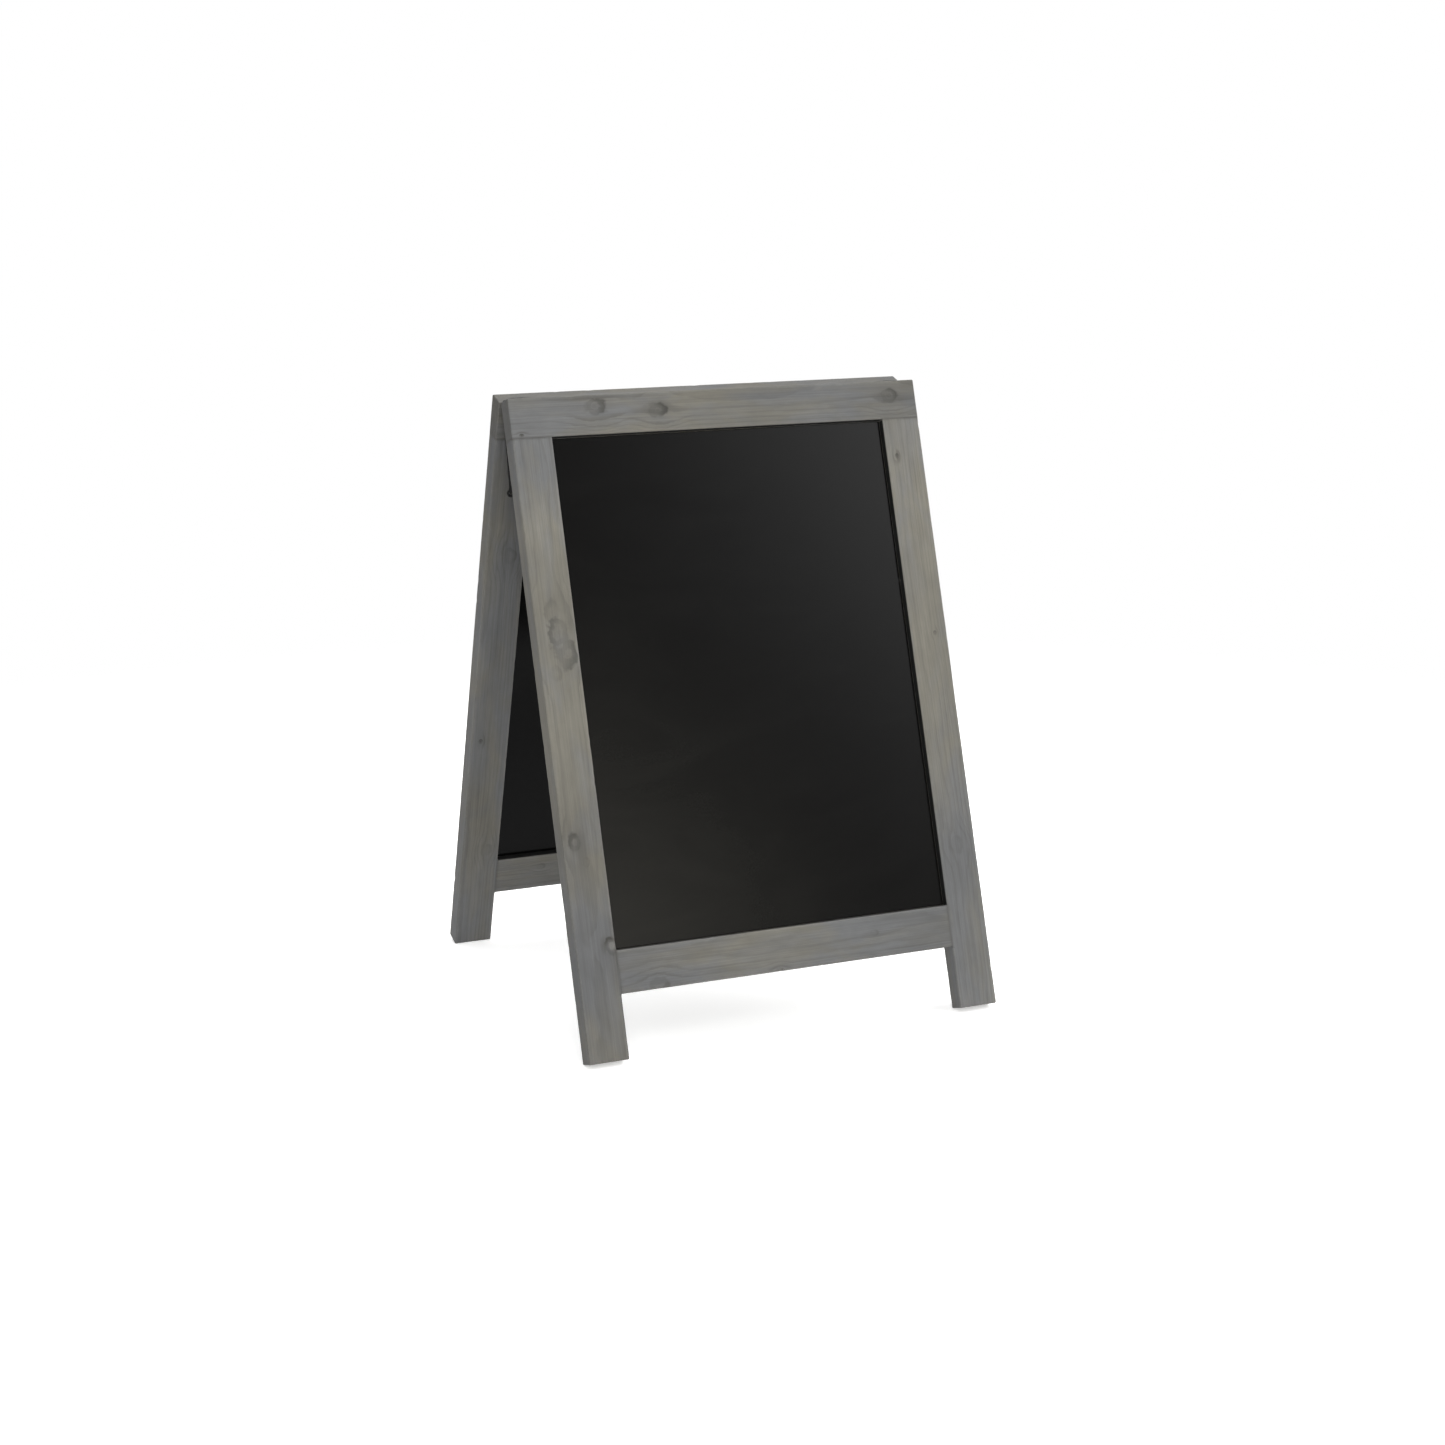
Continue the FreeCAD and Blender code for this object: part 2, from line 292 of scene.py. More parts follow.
def timberMaterial(name, isRear, isUpright, knots, tones, seed):
    made, tree, shader = newMaterial(name)
    chance = random.Random(seed)
    parts = separate(tree, flatCoords(tree, isRear))
    order = (1, 0, 2) if isUpright else (0, 1, 2)
    place = combine(tree, *(parts[i] for i in order))
    shift = tuple(chance.uniform(-9, 9) for _ in range(3))
    wood = vectorCalc(tree, "ADD", place, shift)
    knot = knotParts(tree, place, wood, knots)
    grain = separate(tree, place)
    warmth, brightness = toneRamp(tree, grain[0], tones)

    # growth rings about a pith outside the timber
    wander = minus(tree, grit(tree, stretched(tree, wood, 2.2, 9.0), 1.0, 2.0), 0.5)
    ripple = minus(tree, grit(tree, stretched(tree, wood, 14.0, 60.0), 1.0, 2.0), 0.5)
    middle = sum(k[1] for k in knots) / len(knots) if knots else 0.0
    across = plus(tree, grain[1], times(tree, wander, 0.030))
    across = minus(tree, plus(tree, across, knot["Push"]), middle + chance.uniform(-0.03, 0.03))
    deep = plus(tree, grain[2], chance.uniform(0.012, 0.04))
    deep = plus(tree, deep, times(tree, wander, 0.020))
    radius = measured(tree, "LENGTH", combine(tree, across, deep))
    phase = calc(tree, "DIVIDE", radius, woodTones["ringSpacing"])
    phase = plus(tree, phase, times(tree, ripple, 0.9))
    season = calc(tree, "FRACT", phase)
    late = times(tree, spread(tree, season, 0.50, 0.90), spread(tree, season, 0.92, 1.0, 1.0, 0.0))

    # fibres, streaks and the uneven wash
    fibre = grit(tree, stretched(tree, wood, 9.0, 620.0), 1.0, 5.0, 0.65)
    streak = grit(tree, stretched(tree, wood, 3.0, 85.0), 1.0, 3.0, 0.6, 0.3)
    blotch = grit(tree, stretched(tree, wood, 8.0, 24.0), 1.0, 3.0, 0.6, 0.6)
    cloud = grit(tree, stretched(tree, wood, 26.0, 60.0), 1.0, 4.0, 0.6)
    patch = plus(tree, warmth, spread(tree, blotch, 0.3, 0.7, -0.62, 0.62, "LINEAR"), clamp=True)
    colour = blendColour(tree, patch, woodTones["cool"], woodTones["warm"])
    cutEnd = attribute(tree, "ends")
    lines = plus(tree, times(tree, knot["Halo"], 0.45), times(tree, cutEnd, 0.4))
    lines = times(tree, late, plus(tree, lines, 0.22))
    colour = blendColour(tree, lines, colour, woodTones["late"])
    hair = grit(tree, stretched(tree, wood, 14.0, 1900.0), 1.0, 3.0, 0.7)
    hair = times(tree, spread(tree, hair, 0.60, 0.74), spread(tree, cloud, 0.36, 0.60, 0.22, 0.60))
    colour = blendColour(tree, hair, colour, woodTones["late"])
    shade = spread(tree, streak, 0.25, 0.75, 0.92, 1.07, "LINEAR")
    shade = times(tree, shade, spread(tree, fibre, 0.25, 0.75, 0.80, 1.18, "LINEAR"))
    shade = times(tree, shade, spread(tree, cloud, 0.3, 0.7, 0.91, 1.08, "LINEAR"))
    shade = times(tree, shade, brightness)
    colour = shaded(tree, colour, shade)

    # knots, worn arrises, joints, cut ends and the black paint round the opening
    rough = grit(tree, stretched(tree, wood, 240.0, 620.0), 1.0, 4.0, 0.65)
    knotTone = times(tree, knot["Dark"], spread(tree, cloud, 0.3, 0.7, 0.80, 1.15, "LINEAR"))
    rings = times(tree, spread(tree, knot["Rings"], 0.0, 0.9), 0.10)
    ragged = plus(tree, attribute(tree, "paint"), times(tree, rough, 0.3))
    painted = spread(tree, ragged, 0.62, 0.72)
    layers = (
        (times(tree, knot["Halo"], 0.12), "knot"),
        (plus(tree, knotTone, rings, clamp=True), "knot"),
        (knot["Light"], "worn"),
        (times(tree, attribute(tree, "wear"), spread(tree, rough, 0.30, 0.72, 0.05, 0.27)), "worn"),
        (times(tree, attribute(tree, "seam"), spread(tree, cloud, 0.3, 0.7, 0.25, 0.6)), "seam"),
        (times(tree, cutEnd, spread(tree, rough, 0.3, 0.7, 0.30, 0.62)), "late"),
        (painted, "edgePaint"),
    )
    for share, tone in layers:
        colour = blendColour(tree, share, colour, woodTones[tone])

    height = plus(tree, times(tree, fibre, 0.7), times(tree, late, 0.35))
    pores = grit(tree, stretched(tree, wood, 60.0, 2200.0), 1.0, 2.0, 0.5)
    relief = bump(tree, height, 0.55, 0.00035)
    relief = bump(tree, pores, 0.35, 0.00012, relief)
    relief = bump(tree, knot["Rings"], 0.25, 0.00012, relief)
    finish = spread(tree, fibre, 0.2, 0.8, -0.08, 0.10, "LINEAR")
    finish = plus(tree, finish, woodTones["roughness"])
    finish = minus(tree, finish, times(tree, painted, 0.12))
    dress(tree, shader, colour, finish, relief, woodTones["specular"])
    return made


# The timbers: a rounded section swept along the grain, always inside the planed size.

timberShape = {
    "spacing": 0.0026,
    "arrisSteps": 5,
    "arris": 0.0016,
    "leastArris": 0.00152,
    "arrisWander": 0.0007,
    "jointArris": 0.0002,
    "jointBlend": 0.0022,
    "dent": 0.0013,
    "dentLength": 0.004,
    "dentsPerMetre": 9,
    "hollow": 0.0002,
    "knotSink": 0.00025,
    "leastRadius": 0.0001,
    "wearReach": 0.0007,
    "seamReach": 0.0011,
    "grooveSlack": 0.0001,
    "grooveEndSlack": 0.0008,
}


def jointShare(side, along, joints):
    # 1 where another timber butts against this side, 0 in the open
    share = 0.0
    for low, high in joints.get(side, []):
        near = max(low - along, along - high, 0.0)
        share = max(share, 1.0 - smooth(0.0, timberShape["jointBlend"], near))
    return share


def arrisRadius(corner, along, sharp, dents, seed):
    look = timberShape
    wander = noise.noise(Vector((along * 28, corner * 7.3, seed))) * look["arrisWander"]
    wander += noise.noise(Vector((along * 150, corner * 3.1, seed + 5))) * look["arrisWander"] * 0.5
    radius = look["arris"] + max(wander, 0.0)
    for place, depth in dents[corner]:
        radius += depth * math.exp(-((along - place) / look["dentLength"]) ** 2)
    radius = max(radius, look["leastArris"])
    return radius + (look["jointArris"] - radius) * sharp


def sectionRing(low, high, radii, counts):
    # a closed ring of (across, through, normal, corner or side + 10, share along it)
    corners = [(low[0], low[1], 1, 1), (high[0], low[1], -1, 1),
               (high[0], high[1], -1, -1), (low[0], high[1], 1, -1)]
    points = []
    for k, (v, w, inV, inW) in enumerate(corners):
        centre = (v + inV * radii[k], w + inW * radii[k])
        for step in range(timberShape["arrisSteps"]):
            share = step / (timberShape["arrisSteps"] - 1)
            angle = math.pi * (1 + 0.5 * k) + share * math.pi / 2
            normal = (math.cos(angle), math.sin(angle))
            points.append((centre[0] + radii[k] * normal[0], centre[1] + radii[k] * normal[1],
                           normal, k, share))
        v2, w2, in2V, in2W = corners[(k + 1) % 4]
        radius = radii[(k + 1) % 4]
        end = (v2 + in2V * radius, w2) if k % 2 == 0 else (v2, w2 + in2W * radius)
        start, normal = points[-1][:2], points[-1][2]
        for i in range(1, counts[k % 2]):
            share = i / counts[k % 2]
            points.append((start[0] + (end[0] - start[0]) * share,
                           start[1] + (end[1] - start[1]) * share, normal, k + 10, share))
    return points


def stationsAlong(lowU, highU, isLowJoint, isHighJoint):
    look = timberShape
    steps = round((highU - lowU) / look["spacing"])
    inner = [lowU + (highU - lowU) * i / steps for i in range(1, steps)]
    stations = [(u, 0.0) for u in inner if min(u - lowU, highU - u) > look["arris"] * 1.1]
    for end, into, isJoint in ((lowU, 1, isLowJoint), (highU, -1, isHighJoint)):
        if isJoint:
            stations.append((end, 0.0))
            continue
        for part in range(look["arrisSteps"]):
            angle = math.pi / 2 * part / (look["arrisSteps"] - 1)
            back = look["arris"] * (1 - math.sin(angle))
            stations.append((end + into * back, look["arris"] * (1 - math.cos(angle))))
    return sorted(stations)


def surfaceDip(along, v, w, kind, knots, seed):
    look = timberShape
    wave = noise.noise(Vector((along * 7, v * 30, w * 30 + seed))) * 0.5 + 0.5
    chatter = noise.noise(Vector((along * 60, v * 160, w * 160 + seed))) * 0.5 + 0.5
    dip = look["hollow"] * (0.7 * wave + 0.3 * chatter)
    if kind in (10, 12):
        for knotAlong, knotAcross, radius, strength, core, side in knots:
            reach = math.hypot((along - knotAlong) * 0.72, v - knotAcross) / radius
            dip += look["knotSink"] * strength * (1 - smooth(0.55, 1.15, reach))
    return dip


def paintShare(kind, share, opening, along):
    if not opening or not opening["from"] < along < opening["to"]:
        return 0.0
    side = opening["side"]
    if kind == side + 10:
        return 1.0
    if kind == side:
        return smooth(0.3, 1.0, share)
    if kind == (side + 1) % 4:
        return smooth(0.3, 1.0, 1.0 - share)
    return 0.0


def timberMesh(low, high, isRear, isUpright, joints, endJoints, opening, knots, chips, seed):
    look = timberShape
    order = (1, 0, 2) if isUpright else (0, 1, 2)
    lowU, lowV, lowW = (low[i] for i in order)
    highU, highV, highW = (high[i] for i in order)
    chance = random.Random(seed)
    dents = [[(chance.uniform(lowU, highU), chance.uniform(0.3, 1.0) * look["dent"])
              for _ in range(int((highU - lowU) * look["dentsPerMetre"]))] for _ in range(4)]
    dents[3] += chips
    counts = (max(6, round((highV - lowV) / look["spacing"])), 8)
    mesh = bmesh.new()
    layers = {key: mesh.verts.layers.float.new(key) for key in ("wear", "paint", "seam", "ends")}
    turn = standing(isRear)
    rings = []
    for along, inset in stationsAlong(lowU, highU, *endJoints):
        sharp = [jointShare(side, along, joints) for side in range(4)]
        sides = [inset * (1 - sharp[side]) for side in range(4)]
        radii = [max(arrisRadius(k, along, max(sharp[k], sharp[k - 1]), dents, seed) - inset,
                     look["leastRadius"]) for k in range(4)]
        ringLow, ringHigh = (lowV + sides[3], lowW + sides[0]), (highV - sides[1], highW - sides[2])
        endGap = min(along - lowU if endJoints[0] else 1.0, highU - along if endJoints[1] else 1.0)
        ring = []
        for v, w, normal, kind, share in sectionRing(ringLow, ringHigh, radii, counts):
            dip = surfaceDip(along, v, w, kind, knots, seed)
            sunk = (along, v - normal[0] * dip, w - normal[1] * dip)
            vert = mesh.verts.new(turn @ Vector([sunk[i] for i in order]))
            edgeGap = max(min(v - lowV, highV - v), min(w - lowW, highW - w))
            near = [sharp[kind % 10], sharp[kind - 1] if kind < 10 else 0.0]
            inward = max(edgeGap - look["arris"], 0.0)
            worn = 1.0 if kind < 10 else math.exp(-inward / look["wearReach"])
            vert[layers["wear"]] = max(worn, inset / look["arris"]) * (1 - max(near))
            vert[layers["paint"]] = paintShare(kind, share, opening, along)
            seam = math.exp(-max(endGap, 0.0) / look["seamReach"])
            vert[layers["seam"]] = max(seam, max(near) if kind < 10 else 0.0)
            vert[layers["ends"]] = min(1.0, inset / look["arris"] * 1.2)
            ring.append(vert)
        rings.append(ring)
    count = len(rings[0])
    for first, second in zip(rings, rings[1:]):
        for i in range(count):
            j = (i + 1) % count
            mesh.faces.new((first[i], first[j], second[j], second[i]))
    caps = [mesh.faces.new(rings[0][::-1]), mesh.faces.new(rings[-1])]
    bmesh.ops.recalc_face_normals(mesh, faces=mesh.faces)
    bmesh.ops.triangulate(mesh, faces=caps)
    return mesh


def boxMesh(low, high, turn):
    mesh = bmesh.new()
    corners = [mesh.verts.new(turn @ Vector((x, y, z))) for x in (low[0], high[0])
               for y in (low[1], high[1]) for z in (low[2], high[2])]
    for face in ((0, 1, 3, 2), (4, 6, 7, 5), (0, 4, 5, 1),
                 (2, 3, 7, 6), (0, 2, 6, 4), (1, 5, 7, 3)):
        mesh.faces.new([corners[i] for i in face])
    bmesh.ops.recalc_face_normals(mesh, faces=mesh.faces)
    return mesh


def linked(name, data):
    made = bpy.data.objects.new(name, data)
    bpy.context.scene.collection.objects.link(made)
    return made


def looseObject(name, mesh):
    data = bpy.data.meshes.new(name)
    mesh.to_mesh(data)
    mesh.free()
    return linked(name, data)


def settled(made):
    # the mesh with its modifiers worked in, as plain data
    bpy.context.view_layer.update()
    result = made.evaluated_get(bpy.context.evaluated_depsgraph_get())
    data = bpy.data.meshes.new_from_object(result)
    name = made.name
    bpy.data.objects.remove(made)
    data.name = name
    return data


def finishedMesh(name, data, body, nodes, material, sharpAngle=40.0):
    data.polygons.foreach_set("use_smooth", [True] * len(data.polygons))
    data.set_sharp_from_angle(angle=math.radians(sharpAngle))
    piece = linked(name, data)
    data.materials.clear()
    data.materials.append(material)
    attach(piece, body)
    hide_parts(*nodes)


# Knots: across the frame from its middle, down from its top, radius, in metres, then how dark,
# its core, darker above 0 and paler below, and the side its rim is heaviest on.
timberKnots = {
    "front": {
        "top_rail": [
            (-0.164, 0.016, 0.0098, 0.75, 0.2, (1.0, 0.3)),
            (-0.082, 0.0235, 0.0088, 0.8, 0.3, (1.0, 0.2)),
            (0.238, 0.019, 0.0086, 0.7, 0.35, (1.0, 0.5)),
            (-0.262, 0.0465, 0.0022, 0.9, 0.9, (0.0, 1.0)),
        ],
        "bottom_rail": [
            (-0.175, 0.7235, 0.009, 0.65, 0.35, (0.3, -1.0)),
            (-0.0156, 0.7275, 0.004, 0.5, 0.3, (1.0, 0.0)),
            (0.118, 0.697, 0.004, 0.25, 0.3, (1.0, 0.0)),
        ],
        "left_stile": [
            (-0.252, 0.262, 0.0095, 0.28, 0.2, (-0.6, 0.6)),
            (-0.248, 0.289, 0.0125, 0.55, 0.1, (-1.0, 0.3)),
            (-0.2395, 0.317, 0.012, 0.6, 0.15, (1.0, -0.4)),
            (-0.256, 0.337, 0.007, 0.2, 0.2, (1.0, 0.0)),
            (-0.2589, 0.541, 0.008, 0.75, 0.12, (-0.9, 0.7)),
            (-0.2475, 0.566, 0.0042, 0.25, 0.3, (1.0, 0.0)),
            (-0.2285, 0.669, 0.0076, 1.0, -0.3, (0.2, 1.0)),
        ],
        "right_stile": [
            (0.2377, 0.0985, 0.0026, 0.8, 0.9, (0.0, 1.0)),
            (0.258, 0.3297, 0.0023, 0.6, 0.7, (0.0, 1.0)),
            (0.249, 0.602, 0.0075, 0.22, 0.3, (1.0, 0.0)),
        ],
    },
    "rear": {
        "top_rail": [
            (0.121, 0.03, 0.0085, 0.7, 0.3, (1.0, 0.4)),
            (-0.196, 0.018, 0.006, 0.6, 0.4, (-1.0, 0.4)),
        ],
        "bottom_rail": [
            (0.07, 0.705, 0.0085, 0.7, 0.25, (1.0, 0.4)),
            (-0.16, 0.693, 0.0045, 0.3, 0.4, (1.0, 0.4)),
        ],
        "left_stile": [
            (-0.244, 0.212, 0.0085, 0.25, 0.3, (1.0, 0.4)),
            (-0.262, 0.483, 0.0026, 0.8, 0.9, (0.0, 1.0)),
            (-0.24, 0.655, 0.0065, 0.25, 0.3, (1.0, 0.4)),
        ],
        "right_stile": [
            (0.252, 0.395, 0.0095, 0.7, 0.2, (-1.0, 0.4)),
            (0.238, 0.146, 0.0045, 0.6, 0.5, (1.0, 0.4)),
            (0.262, 0.618, 0.0055, 0.6, 0.4, (1.0, -0.4)),
        ],
    },
}
# Tear-outs on a lower outer arris: place across the frame and depth, in metres.
timberChips = {
    ("front", "bottom_rail"): [(-0.179, 0.0016), (-0.171, 0.0022),
                               (-0.020, 0.0015), (-0.0135, 0.0024)],
    ("rear", "bottom_rail"): [(0.092, 0.0018)],
}
# The wash: place along the timber (down from the top, or across from the middle), warmth
# and brightness.
timberWash = {
    "front": {
        "top_rail": [
            (-0.26, 0.0, 0.98), (-0.2, 0.1, 1.0), (-0.144, 0.35, 1.04), (-0.048, 0.9, 1.01),
            (0.048, 0.45, 0.93), (0.144, 0.3, 0.97), (0.21, 0.5, 0.9), (0.27, 0.4, 0.87),
        ],
        "bottom_rail": [
            (-0.22, 0.2, 0.87), (-0.12, 0.65, 0.94), (-0.04, 0.6, 0.99), (0.04, 0.4, 0.94),
            (0.12, 0.1, 0.92), (0.22, 0.0, 0.81),
        ],
        "left_stile": [
            (0.05, 0.0, 1.0), (0.1, 0.2, 1.06), (0.16, 0.95, 1.25), (0.25, 1.0, 1.05),
            (0.34, 1.0, 1.08), (0.43, 0.95, 1.08), (0.52, 0.75, 0.9), (0.61, 0.35, 0.85),
            (0.7, 0.1, 0.8), (0.8, 0.35, 0.88),
        ],
        "right_stile": [
            (0.05, 0.4, 1.18), (0.16, 0.95, 1.25), (0.25, 0.85, 1.15), (0.43, 0.85, 1.08),
            (0.52, 0.45, 1.0), (0.61, 0.1, 0.86), (0.7, 0.1, 0.92), (0.8, 0.5, 1.02),
        ],
    },
    "rear": {
        "top_rail": [
            (-0.26, 0.3, 0.95), (-0.06, 0.7, 1.05), (0.1, 0.3, 0.98), (0.27, 0.5, 0.95),
        ],
        "bottom_rail": [
            (-0.22, 0.5, 0.95), (0.04, 0.4, 1.02), (0.22, 0.5, 0.92),
        ],
        "left_stile": [
            (0.05, 0.4, 0.98), (0.26, 0.4, 1.05), (0.48, 0.4, 1.0), (0.6, 0.3, 0.92),
            (0.8, 0.4, 0.98),
        ],
        "right_stile": [
            (0.05, 0.5, 1.05), (0.22, 0.9, 1.15), (0.45, 0.6, 1.02), (0.62, 0.3, 0.9),
            (0.8, 0.6, 1.0),
        ],
    },
}


def knotsFor(frameName, member, isRear, isUpright):
    # along and across the grain of the flat timber
    flip = -1 if isRear else 1
    found = []
    for across, down, radius, strength, core, side in timberKnots[frameName][member]:
        place, side = (across * flip, -down), (side[0] * flip, side[1])
        if isUpright:
            place, side = place[::-1], side[::-1]
        found.append((*place, radius, strength, core, side))
    return found


def washFor(frameName, member, isRear, isUpright):
    flip = -1 if isUpright or isRear else 1
    return [(place * flip, warm, bright) for place, warm, bright in timberWash[frameName][member]]


def buildFrame(frameName, isRear, seed):
    boxes = {member: flatBox(f"{frameName}_{member}", isRear)
             for member in ("left_stile", "right_stile", "top_rail", "bottom_rail", "chalkboard")}
    topLow, topHigh = boxes["top_rail"]
    bottomLow, bottomHigh = boxes["bottom_rail"]
    tongueLow, tongueHigh = boxes["chalkboard"]
    middle = (tongueLow.z + tongueHigh.z) / 2
    look = timberShape
    half = chalkboardShape["tongue"] / 2 + look["grooveSlack"]
    slack = look["grooveEndSlack"]
    grooveLow = (tongueLow.x - slack, tongueLow.y - slack, middle - half)
    grooveHigh = (tongueHigh.x + slack, tongueHigh.y + slack, middle + half)
    for member in ("left_stile", "right_stile", "top_rail", "bottom_rail"):
        low, high = boxes[member]
        isUpright = member.endswith("stile")
        joints, endJoints = {}, (False, False)
        if isUpright:
            inward = 1 if low.x < 0 else 3
            joints = {inward: [(bottomLow.y, bottomHigh.y)]}
            opening = {"side": inward, "from": bottomHigh.y, "to": topLow.y}
            endJoints = (False, True)
        elif member == "top_rail":
            joints = {3: [(topLow.x, bottomLow.x), (bottomHigh.x, topHigh.x)]}
            opening = {"side": 3, "from": bottomLow.x, "to": bottomHigh.x}
        else:
            opening = {"side": 1, "from": bottomLow.x, "to": bottomHigh.x}
            endJoints = (True, True)
        seed += 1
        knots = knotsFor(frameName, member, isRear, isUpright)
        chips = timberChips.get((frameName, member), [])
        name = f"{frameName}_{member}_timber"
        made = looseObject(name, timberMesh(low, high, isRear, isUpright, joints, endJoints,
                                            opening, knots, chips, seed))
        cutter = looseObject(name + "_cutter", boxMesh(grooveLow, grooveHigh, standing(isRear)))
        cut = made.modifiers.new("groove", "BOOLEAN")
        cut.operation, cut.solver, cut.object = "DIFFERENCE", "EXACT", cutter
        data = settled(made)
        bpy.data.objects.remove(cutter)
        tones = washFor(frameName, member, isRear, isUpright)
        material = timberMaterial(name, isRear, isUpright, knots, tones, seed)
        node = f"{frameName}_{member}"
        finishedMesh(name, data, frameName + "_frame", [node], material)
        print("timber:", name, len(data.vertices), "points")


# The chalkboards: their own panels, with a chalk-dusted matt black face and a painted warm sheen
# low on one side.

chalkboardShape = {"tongue": 0.004}
chalkboardTones = {
    "black": (0.0009, 0.0009, 0.00094),
    # this pale colour is the chalk dust and also the painted warm sheen low on one side
    "dust": (0.0060, 0.0058, 0.0050),
    "roughness": 0.20,
    "specular": 0.095,
}


def chalkboardMaterial(name, isRear, seed):
    made, tree, shader = newMaterial(name)
    place = flatCoords(tree, isRear)
    shifted = vectorCalc(tree, "ADD", place, (seed, seed * 0.7, 0.0))
    parts = separate(tree, place)
    # a pale film low on one side: partly chalk dust where hands and sleeves miss it, partly a
    # painted warm sheen standing in for a reflection there
    low = spread(tree, parts[1], -0.68, -0.20, 1.0, 0.0)
    side = spread(tree, parts[0], -0.24, 0.16, 1.0, 0.0)
    wipe = grit(tree, vectorCalc(tree, "MULTIPLY", shifted, (5.0, 11.0, 5.0)), 1.0, 4.0, 0.6, 1.6)
    speck = grit(tree, shifted, 900.0, 2.0, 0.5)
    sheenAndDustFilm = times(tree, times(tree, low, side), spread(tree, wipe, 0.2, 0.8, 0.6, 1.0))
    smear = times(tree, spread(tree, wipe, 0.46, 0.76), 0.05)
    share = plus(tree, sheenAndDustFilm, smear)
    share = times(tree, share, spread(tree, speck, 0.3, 0.7, 0.8, 1.15, "LINEAR"))
    colour = blendColour(tree, share, chalkboardTones["black"], chalkboardTones["dust"])
    relief = bump(tree, grit(tree, shifted, 1500.0, 2.0, 0.6), 0.12, 0.00004)
    finish = spread(tree, wipe, 0.2, 0.8, -0.008, 0.012, "LINEAR")
    finish = plus(tree, finish, chalkboardTones["roughness"])
    dress(tree, shader, colour, finish, relief, chalkboardTones["specular"])
    return made


buildFrame("front", False, 10)
buildFrame("rear", True, 40)
for frameName, isRear, seed in (("front", False, 3.0), ("rear", True, 8.0)):
    panel = frame["nodes"][frameName + "_chalkboard"]
    panel.data.materials.clear()
    panel.data.materials.append(chalkboardMaterial(frameName + "_board", isRear, seed))
print("timbers and boards ready")


# Beech dowels, out of sight in the joints.

dowelTones = {"pale": (0.48, 0.33, 0.20), "fleck": (0.36, 0.23, 0.13), "specular": 0.5}


def dowelMaterial():
    made, tree, shader = newMaterial("beech")
    coords = objectCoords(tree)
    fleck = grit(tree, vectorCalc(tree, "MULTIPLY", coords, (300.0, 300.0, 60.0)), 1.0, 3.0)
    share = spread(tree, fleck, 0.35, 0.65)
    colour = blendColour(tree, share, dowelTones["pale"], dowelTones["fleck"])
    finish = spread(tree, fleck, 0.2, 0.8, 0.5, 0.68, "LINEAR")
    dress(tree, shader, colour, finish, bump(tree, fleck, 0.3, 0.0001), dowelTones["specular"])
    return made


beech = dowelMaterial()
for nodeName, node in frame["nodes"].items():
    if nodeName.endswith("dowels"):
        node.data.materials.clear()
        node.data.materials.append(beech)


# Hinges: pressed leaves and pins in satin black paint, worn at the edges.

hingeShape = {
    "easing": 0.00035,
    "easingAngle": 35.0,
    "pinEnd": 0.0008,
    "pinSteps": 40,
}
hingeTones = {
    "paint": (0.0045, 0.0045, 0.0048),
    "dust": (0.014, 0.0135, 0.012),
    "steel": (0.15, 0.145, 0.14),
    "roughness": 0.52,
    "specular": 0.3,
    "wearFrom": 1.26,
}


def metalMaterial(name, tones):
    made, tree, shader = newMaterial(name)
    coords = objectCoords(tree)
    cloud = grit(tree, coords, 90.0, 4.0, 0.6)
    fine = grit(tree, coords, 900.0, 3.0, 0.6)
    dusty = times(tree, spread(tree, cloud, 0.48, 0.72), 0.35)
    colour = blendColour(tree, dusty, tones["paint"], tones["dust"])
    wearMask = plus(tree, attribute(tree, "edge"), times(tree, cloud, 0.55))
    wearMask = spread(tree, wearMask, tones["wearFrom"], tones["wearFrom"] + 0.12)
    wearMask = times(tree, wearMask, spread(tree, fine, 0.38, 0.52))
    colour = blendColour(tree, wearMask, colour, tones["steel"])
    finish = plus(tree, spread(tree, cloud, 0.3, 0.7, -0.06, 0.10, "LINEAR"), tones["roughness"])
    relief = bump(tree, grit(tree, coords, 420.0, 2.0, 0.5), 0.16, 0.0001)
    dress(tree, shader, colour, finish, relief, tones["specular"])
    tree.links.new(wearMask, shader.inputs["Metallic"])
    return made


hingePaint = metalMaterial("hinge_paint", hingeTones)


def markEdges(data):
    # how tightly the surface turns at each point, for the wear on the arrises
    normals = {}
    for polygon in data.polygons:
        for index in polygon.vertices:
            normals.setdefault(index, []).append(polygon.normal.copy())
    made = data.attributes.new("edge", "FLOAT", "POINT")
    for index, around in normals.items():
        mean = sum(around, Vector()).normalized()
        turn = max(mean.angle(normal, 0.0) for normal in around)
        made.data[index].value = min(turn / math.radians(14), 1.0)


def buildLeaf(nodeName, body):
    mesh = bmesh.new()
    mesh.from_mesh(frame["nodes"][nodeName].data)
    bmesh.ops.remove_doubles(mesh, verts=mesh.verts, dist=mergeGap)
    bmesh.ops.dissolve_limit(mesh, angle_limit=math.radians(0.6), verts=mesh.verts,
                             edges=mesh.edges)
    name = nodeName + "_metal"
    made = looseObject(name, mesh)
    ease = made.modifiers.new("easing", "BEVEL")
    ease.width, ease.segments = hingeShape["easing"], 3
    ease.limit_method, ease.angle_limit = "ANGLE", math.radians(hingeShape["easingAngle"])
    ease.miter_outer = "MITER_ARC"
    data = settled(made)
    if "edge" in data.attributes:
        data.attributes.remove(data.attributes["edge"])
    markEdges(data)
    finishedMesh(name, data, body, [nodeName], hingePaint)
    print("leaf:", name, len(data.vertices), "points")


